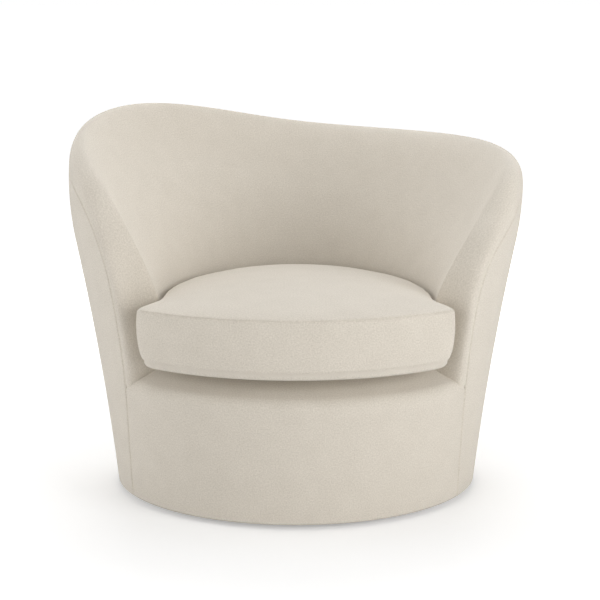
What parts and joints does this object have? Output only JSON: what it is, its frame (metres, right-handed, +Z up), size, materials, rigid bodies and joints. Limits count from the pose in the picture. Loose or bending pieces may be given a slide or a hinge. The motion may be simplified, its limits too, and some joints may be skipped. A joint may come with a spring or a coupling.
{
  "type": "swivel chair",
  "caption": "Round upholstered lounge chair with a sweeping, uneven rolled rim and a loose seat cushion, turning on a hidden swivel base.",
  "frame": {"origin": "on the floor, on the swivel axis", "axes": "+Z up, the sitter faces -Y, +X to the right as seen from the front, so the high side is at -X"},
  "size_m": [0.8913, 0.8726, 0.74],
  "materials": {
    "upholstery_cloth": "matte",
    "foam": "matte",
    "plywood": "matte",
    "liner_board": "matte",
    "black_steel": "satin",
    "zinc_steel": "satin",
    "nylon": "matte",
    "webbing": "matte",
    "dust_cloth": "matte",
    "deck_cloth": "matte",
    "zip_tape": "matte",
    "zip_metal": "satin"
  },
  "bodies": {
    "base": {"glide_ring": "nylon", "base_ring": "black_steel", "base_cross": "black_steel", "lower_race": "black_steel", "race_rivets": "zinc_steel", "king_bolt": "zinc_steel", "king_washer": "zinc_steel", "king_nut": "zinc_steel"},
    "bearing_cage": {"ball_cage": "nylon", "bearing_balls": "zinc_steel"},
    "chair": {"upper_race": "black_steel", "plate_bolts": "zinc_steel", "tee_nuts": "zinc_steel", "base_board": "plywood", "bottom_ring": "plywood", "drum_posts": "plywood", "seat_ring": "plywood", "top_rail": "plywood", "left_arm_post": "plywood", "left_side_post": "plywood", "left_back_post": "plywood", "centre_back_post": "plywood", "right_back_post": "plywood", "right_side_post": "plywood", "right_arm_post": "plywood", "deck_pad": "foam", "front_padding": "foam", "left_arm_padding": "foam", "back_padding": "foam", "right_arm_padding": "foam", "front_cover": "upholstery_cloth", "outside_cover": "upholstery_cloth", "inside_cover": "upholstery_cloth", "rim_roll": "upholstery_cloth", "front_liner": "liner_board", "outside_liner": "liner_board", "seat_webbing": "webbing", "dust_cover": "dust_cloth", "deck_cover": "deck_cloth"},
    "cushion": {"cushion_core": "foam", "cushion_cover": "upholstery_cloth", "cushion_zip": "zip_tape"},
    "zip_slider": {"zip_slider": "zip_metal"}
  },
  "joints": [
    {"name": "swivel", "type": "hinge", "parent": "base", "child": "chair", "pos_m": [0, 0, 0.047], "axis": [0, 0, 1], "continuous": true},
    {"name": "cage_roll", "type": "hinge", "parent": "base", "child": "bearing_cage", "pos_m": [0, 0, 0.0385], "axis": [0, 0, 1], "continuous": true},
    {"name": "cushion_lift", "type": "slide", "parent": "chair", "child": "cushion", "axis": [0, 0, 1], "range_m": [0, 0.4]},
    {"name": "zip_run", "type": "hinge", "parent": "cushion", "child": "zip_slider", "pos_m": [0, 0, 0.3525], "axis": [0, 0, 1], "range_deg": [0, 108]}
  ],
  "couplings": [
    {"joint": "cage_roll", "follows": "swivel", "ratio": 0.5}
  ]
}
